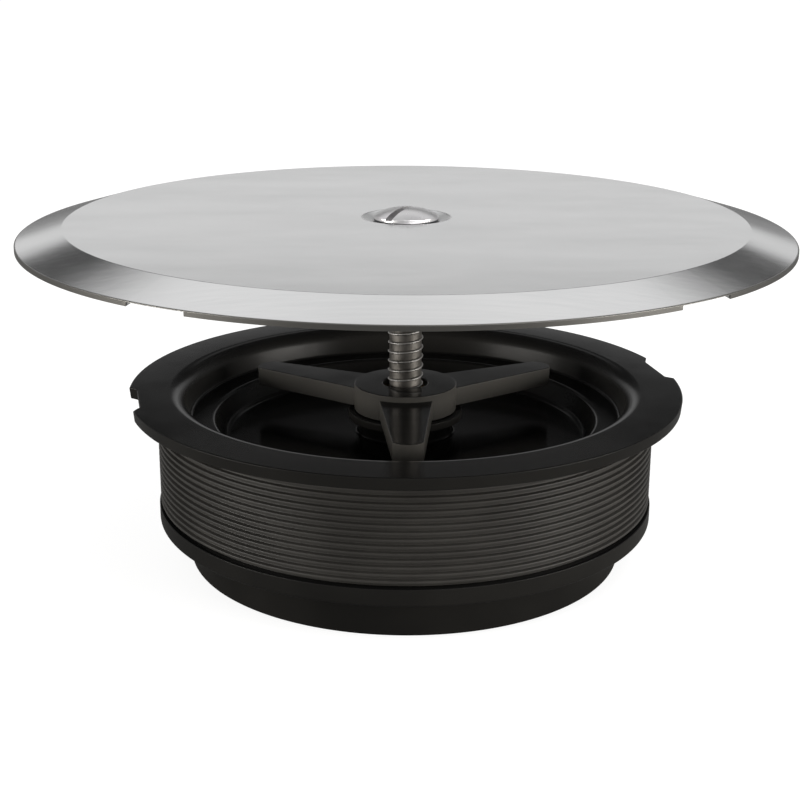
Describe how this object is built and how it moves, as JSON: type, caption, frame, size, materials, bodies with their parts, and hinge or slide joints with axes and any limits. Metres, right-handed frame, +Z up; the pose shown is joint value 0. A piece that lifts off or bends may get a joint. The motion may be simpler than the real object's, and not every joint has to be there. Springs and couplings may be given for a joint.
{
  "type": "expanding hole plug with cover plate",
  "caption": "Expanding plug that grips a round hole with a squeezed ribbed sleeve, under a round metal cover plate held by a central screw.",
  "frame": {"origin": "centre of the foot of the bottom plate, on the plug's axis", "axes": "+Z up along the plug's axis to the cover's screw; +X to the right and +Y away, seen from the front"},
  "size_m": [0.1524, 0.1524, 0.0719],
  "materials": {
    "brushed_stainless": "fine brushed grain",
    "polished_stainless": "polished head, plain rolled thread",
    "black_plastic": "satin moulded",
    "black_rubber": "matt moulded ribs",
    "brass": "machined",
    "spring_steel": "phosphated",
    "zinc_steel": "bright zinc plate"
  },
  "bodies": {
    "plug": {"top_plate": "black_plastic", "thrust_washer": "black_plastic", "grip_sleeve": "black_rubber"},
    "wing": {"wing_nut": "black_plastic", "barrel_nut": "brass", "barrel_clip": "spring_steel"},
    "clamp": {"bottom_plate": "black_plastic", "hollow_stud": "zinc_steel", "stud_washer": "zinc_steel", "stud_lock_nut": "zinc_steel"},
    "cover": {"cover_plate": "brushed_stainless"},
    "screw": {"cover_screw": "polished_stainless"}
  },
  "joints": [
    {"name": "clamp_lift", "type": "slide", "parent": "plug", "child": "clamp", "axis": [0, 0, 1], "range_m": [0, 0.004], "deforming": ["grip_sleeve"]},
    {"name": "wing_turn", "type": "hinge", "parent": "plug", "child": "wing", "pos_m": [0, 0, 0.033], "axis": [0, 0, 1], "range_deg": [-960, 0]},
    {"name": "cover_lift", "type": "slide", "parent": "plug", "child": "cover", "axis": [0, 0, 1], "range_m": [-0.0317, 0]},
    {"name": "screw_turn", "type": "hinge", "parent": "cover", "child": "screw", "pos_m": [0, 0, 0.0695], "axis": [0, 0, 1], "range_deg": [-5853, 0]}
  ],
  "couplings": [
    {"joint": "wing_turn", "follows": "clamp_lift", "rad_per_m": -4188.8},
    {"joint": "screw_turn", "follows": "cover_lift", "rad_per_m": 3222.1}
  ]
}
